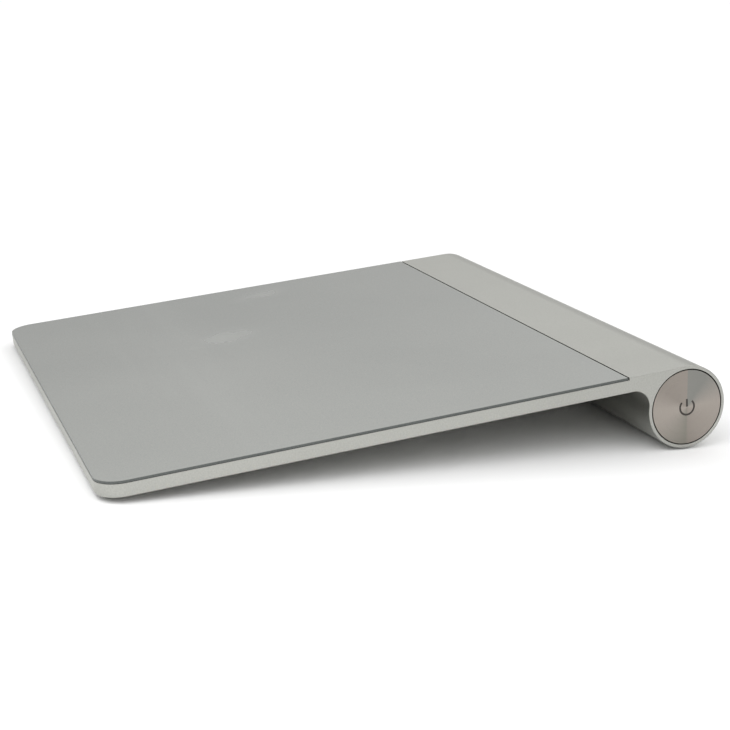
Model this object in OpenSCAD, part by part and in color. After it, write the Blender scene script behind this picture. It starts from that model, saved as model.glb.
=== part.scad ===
// Wireless trackpad: a thin aluminium plate with a glass touch surface, carried by a round battery barrel.
// The part stands on z = 0 with +X to the right of the person using it and +Y towards the barrel.
// Most pieces are drawn in the plate's own frame: its origin is on the barrel's axis, y runs back along
// the plate and z is square to the glass. in_plate() leans that frame to where the feet hold it.

/* [Body] */
// Width of the body, along the barrel
body_w = 130; // [126:1:150]
// Distance from the barrel's axis to the front edge
reach = 122; // [110:1:145]
// Thickness of the plate, glass included
plate_t = 3.25; // [3.2:0.05:4.5]
// Thickness of the floor under the boards
floor_t = 0.7; // [0.6:0.05:0.75]
// Width of the rim that carries the glass at the front and the sides
rim = 3; // [2:0.25:4]
// Width of the ledge under the glass's rear edge
rear_ledge = 1.5; // [1:0.1:3]
// Radius of the two front corners, seen from above
corner_r = 5.5; // [4:0.5:9]
// Fillet between the plate's underside and the barrel
fillet_r = 3.5; // [2:0.25:5]

/* [Barrel] */
// Wall of the barrel outside its bore
barrel_wall = 1.35; // [1.2:0.05:1.8]
// Step from the bore to the seat at each end, on radius
seat_step = 0.65; // [0.5:0.05:0.7]
// Gap round the button and the cap in their seats, on radius
end_gap = 0.25; // [0.1:0.05:0.3]
// How far the button and the cap lie inside the barrel's end faces
end_recess = 0.15; // [0.05:0.05:0.3]

/* [Glass] */
// Thickness of the touch glass
glass_t = 0.5; // [0.4:0.05:0.6]
// Thickness of the bonding tape under the glass
tape_t = 0.08; // [0.05:0.01:0.12]
// Distance from the barrel's axis to the aluminium strip's front edge
strip_reach = 13; // [12:0.25:18]
// Gap between the glass and the aluminium strip
seam_gap = 0.3; // [0.1:0.05:0.4]
// How far the glass stays inside the sides of the body
glass_inset = 0.05; // [0.02:0.01:0.1]

/* [Feet] */
// Diameter of each round front foot
foot_d = 8.8; // [7:0.2:10]
// Clearance round a foot in its hole, on radius
foot_clear = 0.2; // [0.15:0.05:0.4]
// Gap between a foot's flange and the pocket's front wall
foot_front_gap = 0.6; // [0.3:0.1:4]
// Gap between a click switch's bridge and the pocket's side wall
foot_side_gap = 2.45; // [0.5:0.05:8]
// Height of the plate's front bottom edge above the table
front_clear = 0.9; // [0.6:0.1:2]
// Length of each rear rubber strip
strip_len = 34; // [20:1:45]
// Width of each rear rubber strip
strip_w = 2.6; // [2:0.1:3.6]
// Distance from the barrel's end to the middle of a rear strip
strip_x = 27; // [25:1:39]
// How far a rear strip stands out of the barrel
strip_proud = 0.4; // [0.3:0.05:0.8]
// Depth of the groove that a rear strip is bonded into
strip_sink = 0.35; // [0.2:0.05:0.5]

/* [Click switches] */
// Travel of a front foot when the pad is clicked
click_travel = 0.3; // [0.2:0.02:0.4]
// Thickness of a foot plunger's flange
flange_t = 0.4; // [0.3:0.05:0.5]
// How far a plunger's flange reaches past its hole
flange_lip = 0.8; // [0.5:0.1:1.2]
// How far a plunger's spigot reaches into its hole
spigot_reach = 0.4; // [0.2:0.05:0.5]
// Thickness of a click switch's body
switch_t = 0.45; // [0.4:0.05:0.5]
// Width of a click switch's body
switch_w = 4; // [3:0.25:6]
// Depth of a click switch's body, front to back
switch_d = 3; // [2.5:0.25:4.5]
// Thickness of the steel bridge that holds a click switch
bridge_t = 0.25; // [0.2:0.05:0.3]
// Depth of the bridge, front to back
bridge_d = 6; // [5:0.25:7]
// Gap between a bridge's legs and the plunger's flange
bridge_clear = 0.6; // [0.4:0.1:1]

/* [Power button] */
// Thickness of the button's disc
button_t = 1.7; // [1.3:0.1:2]
// Travel of the button
button_travel = 0.5; // [0.3:0.05:0.7]
// Softened edge of the button and the cap
button_edge = 0.15; // [0.05:0.05:0.3]
// Diameter of the button's stem
stem_d = 4; // [3.5:0.25:5]
// Running clearance of the stem in its guide, on radius
stem_clear = 0.06; // [0.03:0.01:0.1]
// Length of the stem's guide in the carrier
guide_len = 1.7; // [1.2:0.1:2.5]
// Thickness of the stem's retaining clip
clip_t = 0.4; // [0.3:0.05:0.6]
// Length of the carrier's solid block, from the battery contact to the power switch
carrier_block = 6.2; // [5.2:0.1:8]
// Radius of the arc of the power mark
mark_r = 1.64; // [1.2:0.04:2.4]
// Line width of the power mark
mark_w = 0.42; // [0.2:0.02:0.5]
// Depth of the engraved power mark
mark_depth = 0.1; // [0.05:0.01:0.2]
// Half of the opening in the power mark's arc, in degrees
mark_gap = 46; // [30:1:60]

/* [Battery cap] */
// Pitch of the cap's thread
thread_pitch = 1; // [0.9:0.05:1.2]
// Turns of thread on the cap
thread_turns = 3.25; // [2:0.25:3.5]
// Height of the cap's thread outside its spigot
thread_h = 0.4; // [0.3:0.02:0.42]
// Clearance between the cap's thread and the barrel's, at the crest and on each flank
thread_clear = 0.12; // [0.1:0.01:0.14]
// Depth of the cap's solid end, from the barrel's end face to the spring's cup
cap_web = 4; // [3.4:0.1:5]
// Diameter of the coin that turns the cap
coin_d = 20; // [16:0.5:26]
// Width of the coin slot
coin_w = 1.8; // [1.2:0.1:2.4]
// Depth of the coin slot in the middle
coin_depth = 1.4; // [0.8:0.1:1.5]
// Length of the contact spring between the cap and the cells
spring_len = 10; // [7:0.5:11]
// Middle diameter of the contact spring
spring_d = 8; // [6:0.25:9]
// Wire diameter of the contact spring
spring_wire = 0.7; // [0.5:0.05:0.9]

/* [Cells] */
// Diameter of one AA cell
cell_d = 14.2; // [13.8:0.1:14.5]
// Clearance round a cell in the barrel's bore, on radius
cell_clear = 0.4; // [0.25:0.05:0.6]
// Length of one AA cell, over its terminals
cell_len = 50.5; // [49.5:0.1:50.7]
// Diameter of a cell's positive terminal
nub_d = 5.4; // [4.5:0.1:5.5]
// Height of a cell's positive terminal
nub_h = 1; // [1:0.1:1.6]
// Thickness of the two battery contacts
contact_t = 0.3; // [0.2:0.05:0.4]
// Diameter of the contact on the positive terminal
contact_d = 8; // [7:0.25:11]

/* [Boards] */
// Thickness of the touch sensor board
sensor_t = 0.4; // [0.3:0.05:0.5]
// Gap between the touch sensor board and the pocket's walls
sensor_gap = 0.5; // [0.3:0.1:1.5]
// Width of the logic board
board_w = 76; // [70:1:84]
// Depth of the logic board
board_d = 24; // [23:0.5:30]
// Thickness of the logic board
board_t = 0.5; // [0.4:0.05:0.6]
// Distance from the pocket's rear wall to the logic board
board_gap = 3.5; // [3:0.25:6]
// Height of the bosses that carry the logic board
boss_h = 0.25; // [0.2:0.05:0.3]
// Height of the tallest component on the logic board
chip_h = 0.6; // [0.5:0.05:0.65]
// Thickness of the flat cables
flex_t = 0.12; // [0.08:0.01:0.14]
// Width of the flat cables of the click switches
flex_w = 3; // [2:0.25:4]
// Width of the touch sensor's flat cable
sensor_flex_w = 10; // [6:0.5:14]
// Width of the battery's flat cable
power_flex_w = 4; // [3:0.25:5]

/* [Fasteners] */
// Diameter of the small screws
screw_d = 1; // [0.8:0.1:1.2]
// Diameter of the small screws' heads
screw_head_d = 1.9; // [1.6:0.1:2.2]
// Height of the small screws' heads
screw_head_h = 0.4; // [0.3:0.05:0.5]
// Radial clearance of a screw in its hole
screw_clear = 0.05; // [0.03:0.01:0.1]

/* [Hidden] */
$fn = 96;
bite = 0.5;
below = 400;

// Radii of the barrel
cell_r = cell_d / 2;
bore_r = cell_r + cell_clear;
barrel_r = bore_r + barrel_wall;
seat_r = bore_r + seat_step;
button_r = seat_r - end_gap;

// Heights in the plate's frame, measured from the barrel's axis
top_z = barrel_r;
glass_z = top_z - glass_t;
rim_z = glass_z - tape_t;
under_z = top_z - plate_t;
floor_z = under_z + floor_t;
sensor_z = glass_z - sensor_t;

// Lean of the plate: the rear strips and the front edge's height over the table settle it
barrel_z = barrel_r + strip_proud;
front_arm = sqrt(reach * reach + under_z * under_z);
tilt = atan2(under_z, reach) + asin((barrel_z - front_clear) / front_arm);
front_y = (reach - glass_inset) * cos(tilt) + top_z * sin(tilt);
barrel_y = (front_y - barrel_r) / 2;

// Fillet under the plate, tangent to the underside and to the barrel
fillet_z = under_z - fillet_r;
fillet_y = -sqrt(pow(barrel_r + fillet_r, 2) - fillet_z * fillet_z);
fillet_end = [fillet_y, fillet_z] * barrel_r / (barrel_r + fillet_r);

// Pocket for the boards
pocket_x = body_w / 2 - rim;
pocket_front = -reach + rim;
pocket_back = -strip_reach - seam_gap - rear_ledge;
least_pocket_r = 1;
pocket_r = max(corner_r - rim, least_pocket_r);
hole_skin = 0.2;

// Plungers of the front feet and the bridges of their switches
foot_hole_r = foot_d / 2 + foot_clear;
flange_r = foot_hole_r + flange_lip;
flange_top = floor_z + flange_t;
spigot_end = floor_z - spigot_reach;
tab_margin = 0.7;
tab_len = screw_head_d + 2 * tab_margin;
bridge_in = flange_r + bridge_clear;
bridge_out = bridge_in + bridge_t;
bridge_end = bridge_out + tab_len;
tab_x = bridge_out + tab_len / 2;
foot_x = pocket_x - foot_side_gap - bridge_end;
foot_y = pocket_front + foot_front_gap + flange_r;

// Click switches, hung from their bridges over the plungers
click_clear = 0.05;
switch_under = flange_top + click_travel + click_clear;
bridge_under = switch_under + switch_t;
bridge_top = bridge_under + bridge_t;
actuator_r = 0.9;
actuator_clear = 0.1;
actuator_top = switch_under + click_clear;

// Logic board: its edges, bosses and plugs
board_back = pocket_back - board_gap;
board_front = board_back - board_d;
board_z = floor_z + boss_h;
board_top = board_z + board_t;
boss_r = 1.8;
screw_edge = 2.5;
front_screw_edge = 6;
board_screw_x = board_w / 2 - screw_edge;
board_screws_y = [board_back - screw_edge, board_front + front_screw_edge];
plug_d = 3;
plug_wall = 0.75;
click_plug_edge = 8;
click_plug_x = board_w / 2 - click_plug_edge;
power_plug_edge = 7;
power_plug_y = board_back - power_plug_edge;

// Components of the logic board: sizes, and places measured from the middle of its rear edge
controller_at = [-12, -11];
controller_w = 7;
radio_at = [14, -11];
radio_w = 5;
radio_h = 0.4;
can_size = [14, 11];
can_t = 0.1;
crystal_at = [-21, -11];
crystal_size = [3.2, 2.5];
crystal_h = 0.45;
antenna_edge = 10;
antenna_at = [board_w / 2 - antenna_edge, -3];
antenna_size = [7, 2];
passive_size = [1, 0.5];
passive_h = 0.35;
passive_pitch = 4;
passive_count = 5;
passive_rows = [-3, -17.5];

// Flat cables
cable_z = board_top + (chip_h - flex_t) / 2;
ramp = 3.5;
level_run = 4;
sensor_lap = 8;
flex_clear = 0.4;
slot_clear = 0.35;
slot_run = 1;

// Depth of the seats in the barrel's ends, and the right end of the power switch's carrier
carrier_clear = 0.05;
carrier_flange_t = 0.5;
button_clear = 0.15;
seat_depth = end_recess + button_t + button_travel + button_clear + carrier_flange_t;
carrier_to = body_w / 2 - seat_depth + carrier_flange_t;

// Stem of the power button, its clip and its switch, inside the carrier's cavity
stem_r = stem_d / 2;
groove_depth = 0.5;
groove_r = stem_r - groove_depth;
clip_lip = 1.2;
clip_r = stem_r + clip_lip;
clip_clear = 0.02;
clip_mouth = 0.8;
stem_tail = 1;
power_switch_t = 1.6;
power_switch_w = 6;
power_switch_gap = 0.5;
plunger_r = 1.2;
plunger_clear = 0.1;
plunger_sink = 0.5;
cavity_half = 4.6;
cavity_to = carrier_to - guide_len;
cavity_from = cavity_to - clip_t - stem_tail - button_travel - power_switch_gap - power_switch_t;
stem_to = cavity_to - clip_t - stem_tail;
power_switch_face = cavity_from + power_switch_t;

// Cap: its head, its spigot and the spring's cup
cap_gap = 0.15;
cap_head_t = seat_depth - end_recess - cap_gap;
spigot_clear = 0.15;
spigot_r = bore_r - spigot_clear;
cup_clear = 1.05;
cup_r = (spring_d + spring_wire) / 2 + cup_clear;

// Thread of the cap and the barrel, measured outwards from the barrel's left end face
thread_lead = 0.3;
thread_tail = 0.9;
thread_len = thread_pitch * thread_turns;
thread_from = -seat_depth - thread_lead - thread_len;
spigot_len = cap_gap + thread_lead + thread_len + thread_tail;
thread_steps = 36;
spare_turns = 1;
flank = 0.4 * thread_pitch;
crest_half = 0.16 * thread_pitch;
root_sink = 0.15 * thread_pitch;

// Battery compartment, from the left end to the right: the contact spring past its cup and the carrier's
// block share the length that the cap, the cells and the contact leave
spring_from = -body_w / 2 + cap_web + contact_t;
spigot_to = -body_w / 2 + end_recess + cap_head_t + spigot_len;
spare_len = cavity_from - spigot_to - 2 * cell_len - contact_t;
spring_out = spring_len - spigot_to + spring_from;
cells_from = spigot_to + spare_len * spring_out / (spring_out + carrier_block);
cells_to = cells_from + 2 * cell_len;
contact_r = contact_d / 2;
contact_clear = 0.3;
tab_w = 2;
tab_over = 1.1;
carrier_from = cells_to + contact_t;
carrier_flat_depth = 0.3;
carrier_flat = bore_r - carrier_flat_depth;
power_flex_x = carrier_from + tab_over + power_flex_w / 2;

// Contact spring: its turns, or as many as fit with a gap between the coils
spring_turns = 5;
coil_gap = 0.1;
spring_steps = 8;
spring_sides = 6;
spring_seat = 0.05;

// Colours of the finishes
blasted = "#bfbfb9";
spun = "#b5aca2";
silver_glass = "#abadab";
tape_grey = "#3a3d3c";
board_green = "#1f4a34";
flex_amber = "#8a5a1e";
chip_black = "#202224";
tin = "#c8c9c6";
steel = "#a9acae";
brass = "#b99a55";
ochre = "#8c7a5c";
moulded = "#e4e4e0";
rubber_grey = "#4a4c4d";
cell_wrap = "#2d3b4a";

echo(tilt = tilt, barrel_y = barrel_y, barrel_z = barrel_z, foot_x = foot_x, foot_y = foot_y);

// Frames

module in_plate() {
    translate([0, barrel_y, barrel_z])
        rotate([tilt, 0, 0])
            children();
}

// z points out of the right end of the barrel, from its end face
module right_end() {
    translate([body_w / 2, 0, 0])
        rotate([0, 90, 0])
            children();
}

// z points out of the left end of the barrel, from its end face
module left_end() {
    translate([-body_w / 2, 0, 0])
        rotate([0, -90, 0])
            children();
}

module at_foot(side) {
    translate([side * foot_x, foot_y, 0])
        children();
}

module at_bridge_screws(side) {
    at_foot(side)
        for (x = [-tab_x, tab_x])
            translate([x, 0, 0])
                children();
}

module at_board_screws() {
    for (x = [-board_screw_x, board_screw_x], y = board_screws_y)
        translate([x, y, 0])
            children();
}

// Shared shapes

// Box given by its two corners
module span(low, high) {
    translate(low)
        cube(high - low);
}

// Bar along the barrel
module bar(r, from, to) {
    translate([from, 0, 0])
        rotate([0, 90, 0])
            cylinder(r = r, h = to - from);
}

// Disc square to the plate
module disc(r, from, to) {
    translate([0, 0, from])
        cylinder(r = r, h = to - from);
}

module slab(from, to) {
    translate([0, 0, from])
        linear_extrude(to - from)
            children();
}

// Outline seen from above: round front corners and square rear ones
module plan(half_w, front, back, r) {
    translate([-half_w, front + r])
        square([2 * half_w, back - front - r]);
    translate([-half_w + r, front])
        square([2 * (half_w - r), back - front]);
    for (side = [-1, 1])
        translate([side * (half_w - r), front + r])
            circle(r);
}

// Outline with four round corners
module round_plan(half_w, front, back, r) {
    translate([-half_w, front + r])
        square([2 * half_w, back - front - 2 * r]);
    translate([-half_w + r, front])
        square([2 * (half_w - r), back - front]);
    for (x = [-half_w + r, half_w - r], y = [front + r, back - r])
        translate([x, y])
            circle(r);
}

// Strip of even thickness along a path in the y-z plane, as wide as w, centred on x
module ribbon(path, w, x) {
    upper = [for (p = path) [p[0], p[1] + flex_t]];
    lower = [for (i = [len(path) - 1 : -1 : 0]) path[i]];
    translate([x - w / 2, 0, 0])
        rotate([90, 0, 90])
            linear_extrude(w)
                polygon(concat(upper, lower));
}

// Helical ridge about z: the half widths are along z, at the inner and the outer radius
module helix(r_in, r_out, half_in, half_out, from, turns) {
    count = round(turns * thread_steps);
    section = [[r_in, -half_in], [r_out, -half_out], [r_out, half_out], [r_in, half_in]];
    points = [for (i = [0 : count], p = section) let (turn = i / thread_steps)
        [p[0] * cos(360 * turn), p[0] * sin(360 * turn), from + thread_pitch * turn + p[1]]];
    sides = [for (i = [0 : count - 1], k = [0 : 3]) let (a = 4 * i + k, b = 4 * i + (k + 1) % 4)
        each [[a, b, a + 4], [b, b + 4, a + 4]]];
    last = 4 * count;
    ends = [[0, 3, 2], [0, 2, 1], [last, last + 1, last + 2], [last, last + 2, last + 3]];
    polyhedron(points, concat(sides, ends));
}

// Thread from a root surface to the radius of its crest, with its root sunk below that surface
module thread(r_root, r_crest, half, from, turns) {
    r_in = r_root - root_sink;
    helix(r_in, r_crest, half + flank * (r_crest - r_in), half, from, turns);
}

// Body

// Side view of the body: plate, barrel and the fillet between them
module side_view() {
    circle(barrel_r);
    translate([-reach, under_z])
        square([reach, plate_t]);
    difference() {
        polygon([[fillet_y, under_z], [0, under_z], [0, fillet_end[1]], fillet_end]);
        translate([fillet_y, fillet_z])
            circle(fillet_r);
    }
}

module body_block() {
    intersection() {
        translate([-body_w / 2, 0, 0])
            rotate([90, 0, 90])
                linear_extrude(body_w)
                    side_view();
        slab(-barrel_r - bite, top_z + bite)
            plan(body_w / 2, -reach, barrel_r + bite, corner_r);
    }
}

module pocket() {
    slab(floor_z, top_z)
        round_plan(pocket_x, pocket_front, pocket_back, pocket_r);
}

// Step all round the glass, down to the rim that carries its tape
module glass_ledge() {
    span([-body_w, -reach - bite, rim_z], [body_w, -strip_reach, top_z + bite]);
}

// Bore for the cells, with a seat at each end and the cap's thread at the left
module barrel_bore() {
    bar(bore_r, -body_w / 2 - bite, body_w / 2 + bite);
    bar(seat_r, -body_w / 2 - bite, -body_w / 2 + seat_depth);
    bar(seat_r, body_w / 2 - seat_depth, body_w / 2 + bite);
    left_end()
        thread(bore_r, spigot_r + thread_h + thread_clear, crest_half + thread_clear,
            thread_from - thread_pitch * spare_turns, thread_turns + 2 * spare_turns);
}

// Way for the flat cable from the barrel to the boards
module cable_slot() {
    half = power_flex_w / 2 + slot_clear;
    span([power_flex_x - half, board_back - slot_clear, carrier_flat - slot_clear],
        [power_flex_x + half, 0, carrier_flat + flex_t + slot_clear]);
}

// A rear strip and its groove under the barrel, level with the table
module strip(side) {
    middle = side * (body_w / 2 - strip_x);
    span([middle - strip_len / 2, barrel_y - strip_w / 2, 0],
        [middle + strip_len / 2, barrel_y + strip_w / 2, strip_proud + strip_sink]);
}

module body_shell() {
    screw_r = screw_d / 2 + screw_clear;
    color(blasted)
        difference() {
            in_plate()
                difference() {
                    union() {
                        difference() {
                            body_block();
                            pocket();
                        }
                        at_board_screws()
                            disc(boss_r, floor_z - hole_skin, board_z);
                    }
                    glass_ledge();
                    barrel_bore();
                    cable_slot();
                    at_board_screws()
                        disc(screw_r, under_z + hole_skin, board_z + bite);
                    for (side = [-1, 1]) {
                        at_foot(side)
                            disc(foot_hole_r, under_z - bite, floor_z + bite);
                        at_bridge_screws(side)
                            disc(screw_r, under_z + hole_skin, floor_z + bite);
                    }
                }
            strip(-1);
            strip(1);
        }
}

// Touch surface

module touch_glass() {
    color(silver_glass)
        in_plate()
            slab(glass_z, top_z)
                plan(body_w / 2 - glass_inset, -reach + glass_inset, -strip_reach - seam_gap,
                    corner_r - glass_inset);
}

// Frame of tape between the glass and the rim
module glass_tape() {
    inset = 2 * glass_inset;
    color(tape_grey)
        in_plate()
            slab(rim_z, glass_z)
                difference() {
                    plan(body_w / 2 - inset, -reach + inset, -strip_reach - seam_gap, corner_r - inset);
                    round_plan(pocket_x, pocket_front, pocket_back, pocket_r);
                }
}

module sensor_board() {
    color(board_green)
        in_plate()
            slab(sensor_z, glass_z)
                round_plan(pocket_x - sensor_gap, pocket_front + sensor_gap, pocket_back - sensor_gap,
                    pocket_r);
}

// Bonded under the sensor board, then down into its plug at the front of the logic board
module sensor_flex() {
    low = board_front - level_run;
    high = low - ramp;
    bonded = sensor_z - flex_t;
    color(flex_amber)
        in_plate()
            ribbon([[high - sensor_lap, bonded], [high, bonded], [low, cable_z], [board_front, cable_z]],
                sensor_flex_w, 0);
}

// Logic board

module logic_board() {
    color(board_green)
        in_plate()
            difference() {
                span([-board_w / 2, board_front, board_z], [board_w / 2, board_back, board_top]);
                at_board_screws()
                    disc(screw_d / 2 + screw_clear, board_z - bite, board_top + bite);
            }
}

// Component on the logic board, placed by its middle
module on_board(at, size, h) {
    in_plate()
        translate([at[0] - size[0] / 2, at[1] - size[1] / 2, board_top])
            cube([size[0], size[1], h]);
}

// Component placed from the middle of the board's rear edge
module from_rear(at, size, h) {
    on_board(at + [0, board_back], size, h);
}

module touch_controller() {
    color(chip_black)
        from_rear(controller_at, [controller_w, controller_w], chip_h);
}

module radio_chip() {
    color(chip_black)
        from_rear(radio_at, [radio_w, radio_w], radio_h);
}

// Thin tin can over the radio chip
module shield_can() {
    color(tin)
        difference() {
            from_rear(radio_at, can_size, chip_h);
            from_rear(radio_at, can_size - 2 * [can_t, can_t], chip_h - can_t);
        }
}

module crystal() {
    color(tin)
        from_rear(crystal_at, crystal_size, crystal_h);
}

module chip_antenna() {
    color(moulded)
        from_rear(antenna_at, antenna_size, chip_h);
}

module sensor_connector() {
    color(moulded)
        on_board([0, board_front + plug_d / 2], [sensor_flex_w + 2 * plug_wall, plug_d], chip_h);
}

module power_connector() {
    color(moulded)
        on_board([board_w / 2 - plug_d / 2, power_plug_y], [plug_d, power_flex_w + 2 * plug_wall], chip_h);
}

module click_connectors() {
    color(moulded)
        for (side = [-1, 1])
            on_board([side * click_plug_x, board_front + plug_d / 2], [flex_w + 2 * plug_wall, plug_d],
                chip_h);
}

// Two rows of small capacitors and resistors
module board_passives() {
    color(ochre)
        for (i = [-passive_count : passive_count], row = passive_rows)
            from_rear([i * passive_pitch, row], passive_size, passive_h);
}

// Screw with its head on a surface, in a blind hole
module screw(surface) {
    disc(screw_head_d / 2, surface, surface + screw_head_h);
    disc(screw_d / 2, under_z + hole_skin + screw_clear, surface + screw_head_h / 2);
}

module board_screws() {
    color(steel)
        in_plate()
            at_board_screws()
                screw(board_top);
}

// Click switches

// Steel bridge that straddles a foot's plunger and holds its switch from above
module switch_bridge(side) {
    tab_top = floor_z + bridge_t;
    half = [[0, bridge_under], [bridge_in, bridge_under], [bridge_in, floor_z], [bridge_end, floor_z],
        [bridge_end, tab_top], [bridge_out, tab_top], [bridge_out, bridge_top], [0, bridge_top]];
    color(steel)
        in_plate()
            difference() {
                at_foot(side)
                    translate([0, bridge_d / 2, 0])
                        rotate([90, 0, 0])
                            linear_extrude(bridge_d) {
                                polygon(half);
                                mirror([1, 0])
                                    polygon(half);
                            }
                at_bridge_screws(side)
                    disc(screw_d / 2 + screw_clear, floor_z - bite, tab_top + bite);
            }
}

module bridge_screws() {
    color(steel)
        in_plate()
            for (side = [-1, 1])
                at_bridge_screws(side)
                    screw(floor_z + bridge_t);
}

// Switch body under the bridge, with a blind hole for its actuator
module click_switch(side) {
    color(chip_black)
        in_plate()
            at_foot(side)
                difference() {
                    span([-switch_w / 2, -switch_d / 2, switch_under],
                        [switch_w / 2, switch_d / 2, bridge_under]);
                    disc(actuator_r + actuator_clear, switch_under - bite,
                        actuator_top + click_travel + click_clear / 2);
                }
}

// From the switch, over the plunger's flange, along the floor and up to the logic board's plug
module click_flex(side) {
    bonded = bridge_under - flex_t;
    start = foot_y + switch_d / 2;
    clear = foot_y + flange_r + flex_clear;
    rise = board_front - level_run - ramp;
    plug = side * click_plug_x;
    left = min(side * foot_x, plug) - flex_w / 2;
    right = max(side * foot_x, plug) + flex_w / 2;
    color(flex_amber)
        in_plate() {
            ribbon([[start, bonded], [clear, bonded], [clear + ramp, floor_z], [rise, floor_z]], flex_w,
                side * foot_x);
            span([left, rise - flex_w, floor_z], [right, rise, floor_z + flex_t]);
            ribbon([[rise - flex_w, floor_z], [rise, floor_z], [rise + ramp, cable_z],
                [board_front, cable_z]], flex_w, plug);
        }
}

// Front and rear feet

// Plunger: a flange inside the floor and a spigot in the hole
module foot_plunger(side) {
    color(moulded)
        in_plate()
            at_foot(side) {
                disc(flange_r, floor_z, flange_top);
                disc(foot_d / 2, spigot_end, floor_z + flange_t / 2);
            }
}

// Rubber pad under the plunger, cut level with the table
module front_foot(side) {
    color(rubber_grey)
        difference() {
            in_plate()
                at_foot(side)
                    disc(foot_d / 2, -barrel_r, spigot_end);
            translate([-below / 2, -below / 2, -below])
                cube(below);
        }
}

module click_actuator(side) {
    color(moulded)
        in_plate()
            at_foot(side)
                disc(actuator_r, flange_top, actuator_top);
}

module rear_foot(side) {
    color(rubber_grey)
        strip(side);
}

// Power button

// Broken ring with an upright bar in its opening
module engraved_mark() {
    translate([0, 0, -end_recess - mark_depth]) {
        rotate([0, 0, 180 + mark_gap])
            rotate_extrude(angle = 360 - 2 * mark_gap)
                translate([mark_r - mark_w / 2, 0])
                    square([mark_w, mark_depth + bite]);
        translate([-mark_r - mark_w / 4, -mark_w / 2, 0])
            cube([mark_r, mark_w, mark_depth + bite]);
    }
}

// Disc with a softened edge, and a stem with a groove for its clip
module power_button() {
    face = -end_recess;
    back = face - button_t;
    stem_end = stem_to - body_w / 2;
    groove_top = cavity_to - body_w / 2;
    groove_end = groove_top - clip_t - clip_clear;
    color(spun)
        in_plate()
            right_end()
                difference() {
                    rotate_extrude()
                        polygon([[0, face], [button_r - button_edge, face], [button_r, face - button_edge],
                            [button_r, back], [stem_r, back], [stem_r, groove_top], [groove_r, groove_top],
                            [groove_r, groove_end], [stem_r, groove_end], [stem_r, stem_end],
                            [0, stem_end]]);
                    engraved_mark();
                }
}

// Open clip in the stem's groove, which keeps the button in its guide
module button_clip() {
    from = cavity_to - clip_t;
    mouth = groove_r * clip_mouth;
    color(steel)
        in_plate()
            difference() {
                bar(clip_r, from, cavity_to);
                bar(groove_r + clip_clear, from - bite, cavity_to + bite);
                span([from - bite, -mouth, 0], [cavity_to + bite, mouth, barrel_r]);
            }
}

module switch_plunger() {
    color(moulded)
        in_plate()
            bar(plunger_r, power_switch_face - plunger_sink, stem_to);
}

module power_switch() {
    half = power_switch_w / 2;
    hole = plunger_sink + button_travel + plunger_clear;
    color(chip_black)
        in_plate()
            difference() {
                span([cavity_from, -half, -half], [power_switch_face, half, half]);
                bar(plunger_r + plunger_clear, power_switch_face - hole, power_switch_face + bite);
            }
}

// Moulded plug in the barrel's right end: guides the button and holds its switch and the contact
module button_carrier() {
    color(moulded)
        in_plate()
            difference() {
                union() {
                    bar(bore_r - carrier_clear, carrier_from, carrier_to);
                    bar(seat_r - carrier_clear, carrier_to - carrier_flange_t, carrier_to);
                }
                span([carrier_from - bite, -barrel_r, carrier_flat], [cavity_to, barrel_r, barrel_r]);
                span([cavity_from, -cavity_half, -cavity_half], [cavity_to, cavity_half, barrel_r]);
                bar(stem_r + stem_clear, cavity_from, carrier_to + bite);
            }
}

// Plate against the right cell's positive terminal, with a tab bent over to the flat cable
module positive_contact() {
    half = tab_w / 2;
    tab_top = carrier_flat + flex_t;
    color(brass)
        in_plate() {
            bar(contact_r, cells_to, carrier_from);
            span([cells_to, -half, 0], [carrier_from, half, tab_top]);
            span([cells_to, -half, carrier_flat], [carrier_from + tab_over, half, tab_top]);
        }
}

// From the carrier's flat, through the slot, round to the logic board's right edge
module battery_flex() {
    half = power_flex_w / 2;
    left = power_flex_x - half;
    right = power_flex_x + half;
    low = power_plug_y - half;
    level = pocket_back - slot_run;
    color(flex_amber)
        in_plate() {
            span([left, level, carrier_flat], [right, tab_w / 2, carrier_flat + flex_t]);
            ribbon([[board_back, cable_z], [level, carrier_flat]], power_flex_w, power_flex_x);
            span([left, low, cable_z], [right, board_back, cable_z + flex_t]);
            span([board_w / 2, low, cable_z], [power_flex_x, low + power_flex_w, cable_z + flex_t]);
        }
}

// Battery compartment

// One AA cell with its positive terminal to the right
module cell(from) {
    can_len = cell_len - nub_h;
    edge = 0.4;
    color(cell_wrap)
        in_plate()
            translate([from, 0, 0])
                rotate([0, 90, 0])
                    rotate_extrude()
                        polygon([[0, 0], [cell_r - edge, 0], [cell_r, edge], [cell_r, can_len - edge],
                            [cell_r - edge, can_len], [nub_d / 2, can_len], [nub_d / 2, cell_len],
                            [0, cell_len]]);
}

// Head with a coin slot, a threaded spigot and a cup for the contact spring
module battery_cap() {
    face = -end_recess;
    head = face - cap_head_t;
    end = head - spigot_len;
    color(spun)
        in_plate()
            left_end()
                difference() {
                    union() {
                        rotate_extrude()
                            polygon([[0, face], [button_r - button_edge, face],
                                [button_r, face - button_edge], [button_r, head], [spigot_r, head],
                                [spigot_r, end], [cup_r, end], [cup_r, -cap_web], [0, -cap_web]]);
                        thread(spigot_r, spigot_r + thread_h, crest_half, thread_from, thread_turns);
                    }
                    translate([0, -coin_w / 2, face - coin_depth + coin_d / 2])
                        rotate([-90, 0, 0])
                            cylinder(d = coin_d, h = coin_w);
                }
}

module cap_contact() {
    color(brass)
        in_plate()
            bar(cup_r - contact_clear, spring_from - contact_t, spring_from);
}

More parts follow.
